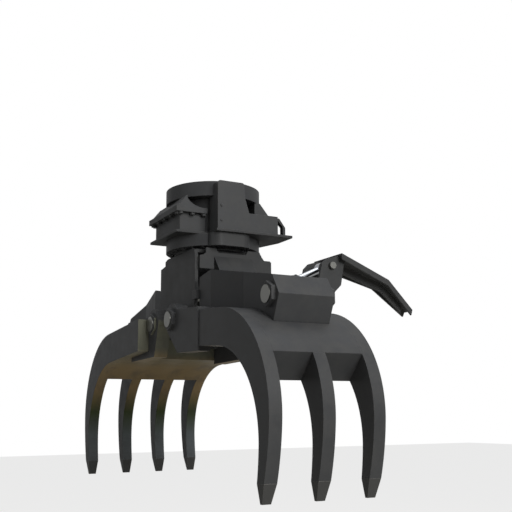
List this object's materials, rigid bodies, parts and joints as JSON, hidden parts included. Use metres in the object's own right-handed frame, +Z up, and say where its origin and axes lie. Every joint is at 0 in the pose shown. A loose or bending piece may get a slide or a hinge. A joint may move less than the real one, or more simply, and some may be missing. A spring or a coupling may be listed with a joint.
{
  "type": "log grapple",
  "caption": "Hydraulic log grapple with a slewing rotator, a box head, two opposed tine jaws closed by cylinders and a folding stabiliser arm.",
  "frame": {"origin": "slewing axis at the top face of the mounting ring", "axes": "+Z up along the slewing axis, X the way the jaws open, Y along the jaw pivot pins"},
  "size_m": [2.2508, 1.678, 1.5463],
  "materials": {
    "machined_paint": "satin dark grey paint",
    "cover_paint": "satin dark grey paint",
    "head_paint": "satin dark grey paint",
    "jaw_paint": "satin dark grey paint",
    "tip_paint": "satin dark grey paint, slightly worn",
    "barrel_paint": "satin dark grey paint",
    "arm_paint": "satin dark grey paint",
    "pin_steel": "turned steel",
    "rod_chrome": "polished chrome"
  },
  "bodies": {
    "rotator": {"mount_ring": "machined_paint", "rotator_neck": "machined_paint", "base_plate": "cover_paint", "valve_box": "cover_paint", "valve_lid": "cover_paint", "valve_hood": "cover_paint", "tower_box": "cover_paint", "hose_guard": "cover_paint", "rear_hood": "cover_paint", "slew_housing": "machined_paint", "slew_motor": "machined_paint"},
    "head": {"turntable": "machined_paint", "head_side_near": "head_paint", "head_side_far": "head_paint", "head_roof": "head_paint", "head_panel_right": "head_paint", "head_panel_left": "head_paint", "head_web": "head_paint", "cylinder_pin_right": "pin_steel", "cylinder_pin_left": "pin_steel", "stop_block": "head_paint", "arm_bracket": "arm_paint", "arm_base_pin": "pin_steel"},
    "right_jaw": {"jaw_right_box": "jaw_paint", "jaw_right_housing": "jaw_paint", "jaw_right_hub_far": "jaw_paint", "jaw_right_hub_near": "jaw_paint", "jaw_right_pin_far": "pin_steel", "jaw_right_pin_near": "pin_steel", "jaw_right_rod_pin": "pin_steel", "jaw_right_tine_far": "jaw_paint", "jaw_right_tine_middle": "jaw_paint", "jaw_right_tine_near": "jaw_paint", "jaw_right_tip_1": "tip_paint", "jaw_right_tip_2": "tip_paint", "jaw_right_tip_3": "tip_paint"},
    "left_jaw": {"jaw_left_box": "jaw_paint", "jaw_left_housing": "jaw_paint", "jaw_left_hub_far": "jaw_paint", "jaw_left_hub_near": "jaw_paint", "jaw_left_pin_far": "pin_steel", "jaw_left_pin_near": "pin_steel", "jaw_left_rod_pin": "pin_steel", "jaw_left_tine_1": "jaw_paint", "jaw_left_tine_2": "jaw_paint", "jaw_left_tine_3": "jaw_paint", "jaw_left_tine_4": "jaw_paint", "jaw_left_tip_1": "tip_paint", "jaw_left_tip_2": "tip_paint", "jaw_left_tip_3": "tip_paint", "jaw_left_tip_4": "tip_paint"},
    "right_barrel": {"barrel_right": "barrel_paint"},
    "right_rod": {"rod_right": "rod_chrome"},
    "left_barrel": {"barrel_left": "barrel_paint"},
    "left_rod": {"rod_left": "rod_chrome"},
    "arm": {"arm_beam": "arm_paint", "arm_pivot_pin": "pin_steel", "arm_rod_pin": "pin_steel"},
    "arm_cylinder": {"arm_barrel": "barrel_paint"},
    "arm_piston": {"arm_rod": "rod_chrome"}
  },
  "joints": [
    {"name": "head_turn", "type": "hinge", "parent": "rotator", "child": "head", "pos_m": [0, 0, -0.32], "axis": [0, 0, 1], "continuous": true},
    {"name": "right_jaw_close", "type": "hinge", "parent": "head", "child": "right_jaw", "pos_m": [0.122, 0, -0.724], "axis": [0, 1, 0], "range_deg": [0, 53]},
    {"name": "left_jaw_close", "type": "hinge", "parent": "head", "child": "left_jaw", "pos_m": [-0.122, 0, -0.724], "axis": [0, -1, 0], "range_deg": [0, 53]},
    {"name": "right_barrel_swing", "type": "hinge", "parent": "head", "child": "right_barrel", "pos_m": [0.1, 0, -0.59], "axis": [0, 1, 0], "range_deg": [0, 49]},
    {"name": "right_rod_extend", "type": "slide", "parent": "right_barrel", "child": "right_rod", "axis": [0.9925, 0, -0.1225], "range_m": [0, 0.1]},
    {"name": "left_barrel_swing", "type": "hinge", "parent": "head", "child": "left_barrel", "pos_m": [-0.1, 0, -0.59], "axis": [0, -1, 0], "range_deg": [0, 49]},
    {"name": "left_rod_extend", "type": "slide", "parent": "left_barrel", "child": "left_rod", "axis": [-0.9925, 0, -0.1225], "range_m": [0, 0.1]},
    {"name": "arm_fold", "type": "hinge", "parent": "head", "child": "arm", "pos_m": [0, 0.648, -0.514], "axis": [-1, 0, 0], "range_deg": [0, 35]},
    {"name": "arm_barrel_swing", "type": "hinge", "parent": "head", "child": "arm_cylinder", "pos_m": [0, 0.275, -0.562], "axis": [-1, 0, 0], "range_deg": [0, 10]},
    {"name": "arm_rod_extend", "type": "slide", "parent": "arm_cylinder", "child": "arm_piston", "axis": [0, 0.9081, 0.4188], "range_m": [0, 0.06]}
  ],
  "couplings": [
    {"joint": "right_barrel_swing", "follows": "right_jaw_close", "ratio": 0.906},
    {"joint": "right_rod_extend", "follows": "right_jaw_close", "m_per_rad": 0.107},
    {"joint": "left_barrel_swing", "follows": "left_jaw_close", "ratio": 0.906},
    {"joint": "left_rod_extend", "follows": "left_jaw_close", "m_per_rad": 0.107},
    {"joint": "arm_barrel_swing", "follows": "arm_fold", "ratio": 0.2587},
    {"joint": "arm_rod_extend", "follows": "arm_fold", "m_per_rad": 0.0894}
  ]
}
